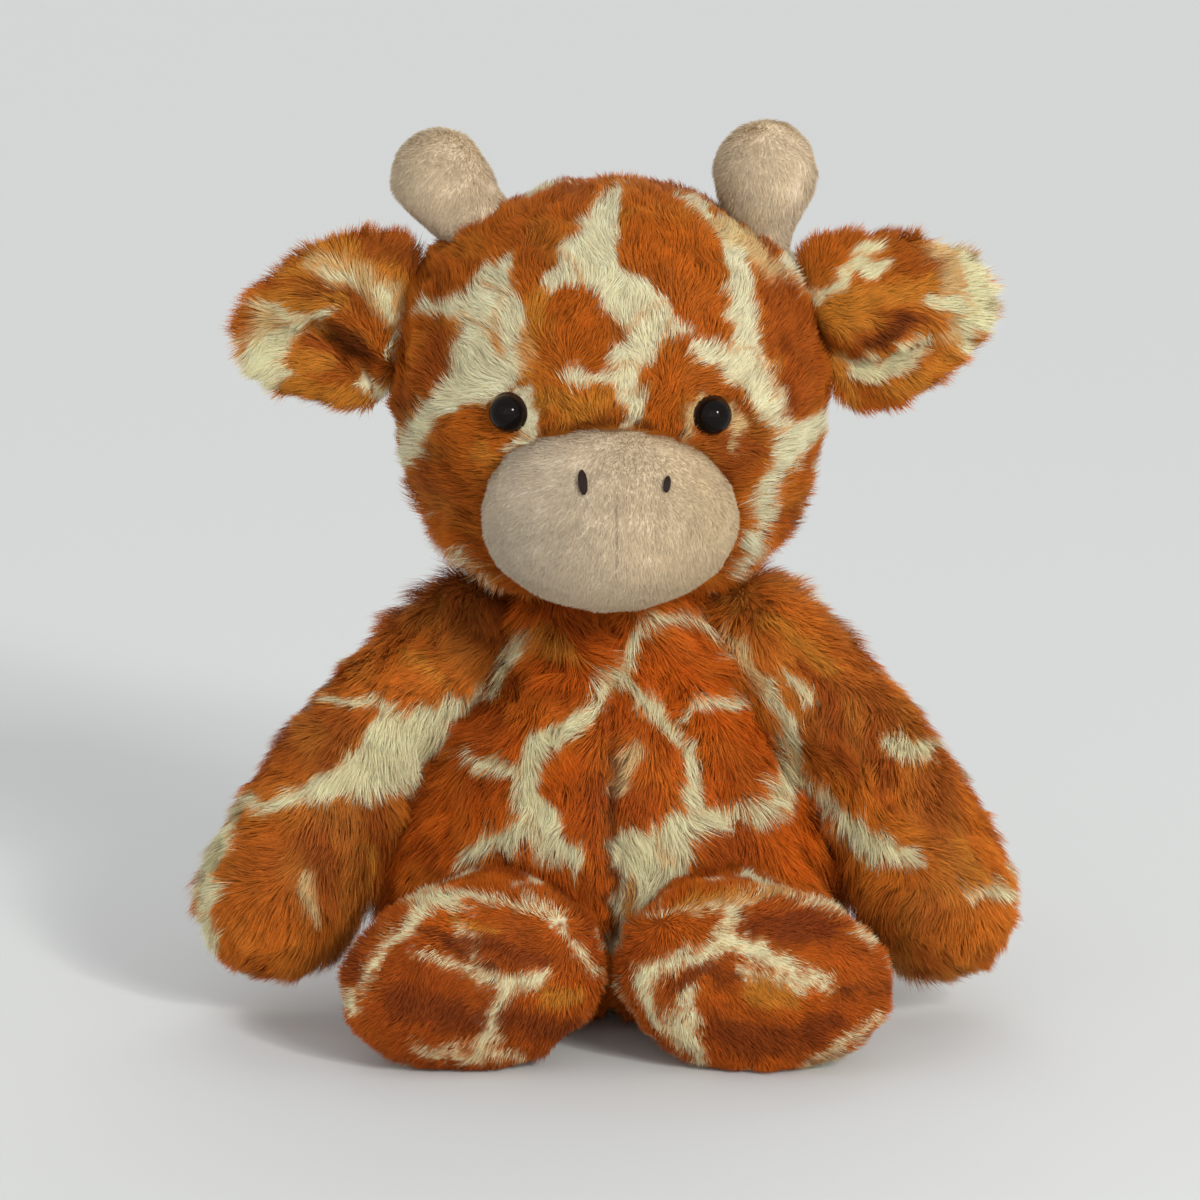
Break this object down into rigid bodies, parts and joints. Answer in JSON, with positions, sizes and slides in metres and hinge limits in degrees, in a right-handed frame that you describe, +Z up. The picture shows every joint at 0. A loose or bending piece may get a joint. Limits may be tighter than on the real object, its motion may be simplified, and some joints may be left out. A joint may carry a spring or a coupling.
{
  "type": "plush giraffe",
  "caption": "Seated plush giraffe with a round head, tan muzzle and club horns, cupped side ears, and stuffed arms and legs that swing at their seams.",
  "frame": {"origin": "centre of the bounding box in plan, on the floor the toy sits on", "axes": "+Z up; the toy faces -Y; its own left side is +X"},
  "size_m": [0.2604, 0.156, 0.287],
  "materials": {
    "patterned_fur": "long cut pile, orange-brown patches in a cream net",
    "tan_pile": "short dense pile",
    "fibre_fill": "loose polyester fibre",
    "pellet_pouch": "woven pouch of plastic pellets",
    "seam_thread": "turned-in fabric edge and thread",
    "eye_plastic": "polished, near black with a dark brown edge",
    "washer_plastic": "moulded",
    "brown_thread": "satin-stitched thread"
  },
  "bodies": {
    "torso": {"body_skin": "patterned_fur", "body_fill": "fibre_fill", "pellet_pouch": "pellet_pouch"},
    "neck": {"neck_seam": "seam_thread"},
    "head": {"head_skin": "patterned_fur", "head_fill": "fibre_fill", "muzzle_skin": "tan_pile", "muzzle_fill": "fibre_fill", "eye_left": "eye_plastic", "eye_right": "eye_plastic", "eye_washer_left": "washer_plastic", "eye_washer_right": "washer_plastic", "nostril_left": "brown_thread", "nostril_right": "brown_thread"},
    "arm_left": {"arm_skin_left": "patterned_fur", "arm_fill_left": "fibre_fill"},
    "leg_left": {"leg_skin_left": "patterned_fur", "leg_fill_left": "fibre_fill", "sole_left": "patterned_fur"},
    "ear_left": {"ear_back_left": "patterned_fur", "ear_lining_left": "patterned_fur"},
    "horn_left": {"horn_left": "tan_pile", "horn_fill_left": "fibre_fill"},
    "arm_right": {"arm_skin_right": "patterned_fur", "arm_fill_right": "fibre_fill"},
    "leg_right": {"leg_skin_right": "patterned_fur", "leg_fill_right": "fibre_fill", "sole_right": "patterned_fur"},
    "ear_right": {"ear_back_right": "patterned_fur", "ear_lining_right": "patterned_fur"},
    "horn_right": {"horn_right": "tan_pile", "horn_fill_right": "fibre_fill"}
  },
  "joints": [
    {"name": "neck_turn", "type": "hinge", "parent": "torso", "child": "neck", "pos_m": [0, 0.016, 0.124], "axis": [0, 0, 1], "range_deg": [-35, 35], "stiffness_Nm_per_rad": 0.15},
    {"name": "head_nod", "type": "hinge", "parent": "neck", "child": "head", "pos_m": [0, 0.016, 0.124], "axis": [1, 0, 0], "range_deg": [-15, 15], "stiffness_Nm_per_rad": 0.6},
    {"name": "arm_swing_left", "type": "hinge", "parent": "torso", "child": "arm_left", "pos_m": [0.046, 0.018, 0.119], "axis": [-1, 0, 0], "range_deg": [-40, 75], "stiffness_Nm_per_rad": 0.03},
    {"name": "leg_lift_left", "type": "hinge", "parent": "torso", "child": "leg_left", "pos_m": [0.037, -0.028, 0.0295], "axis": [-1, 0, 0], "range_deg": [-60, 15], "stiffness_Nm_per_rad": 0.05},
    {"name": "ear_flop_left", "type": "hinge", "parent": "head", "child": "ear_left", "pos_m": [0.06989, 0.008, 0.22441], "axis": [-0.2929, 0, 0.9561], "range_deg": [-30, 30], "stiffness_Nm_per_rad": 0.01},
    {"name": "horn_bend_left", "type": "hinge", "parent": "head", "child": "horn_left", "pos_m": [0.04826, 0.01023, 0.25943], "axis": [1, 0, 0], "range_deg": [-15, 15], "stiffness_Nm_per_rad": 0.02},
    {"name": "arm_swing_right", "type": "hinge", "parent": "torso", "child": "arm_right", "pos_m": [-0.046, 0.018, 0.119], "axis": [-1, 0, 0], "range_deg": [-40, 75], "stiffness_Nm_per_rad": 0.03},
    {"name": "leg_lift_right", "type": "hinge", "parent": "torso", "child": "leg_right", "pos_m": [-0.037, -0.028, 0.0295], "axis": [-1, 0, 0], "range_deg": [-60, 15], "stiffness_Nm_per_rad": 0.05},
    {"name": "ear_flop_right", "type": "hinge", "parent": "head", "child": "ear_right", "pos_m": [-0.06989, 0.008, 0.22441], "axis": [0.2929, 0, 0.9561], "range_deg": [-30, 30], "stiffness_Nm_per_rad": 0.01},
    {"name": "horn_bend_right", "type": "hinge", "parent": "head", "child": "horn_right", "pos_m": [-0.05014, 0.01034, 0.26176], "axis": [1, 0, 0], "range_deg": [-15, 15], "stiffness_Nm_per_rad": 0.02}
  ]
}
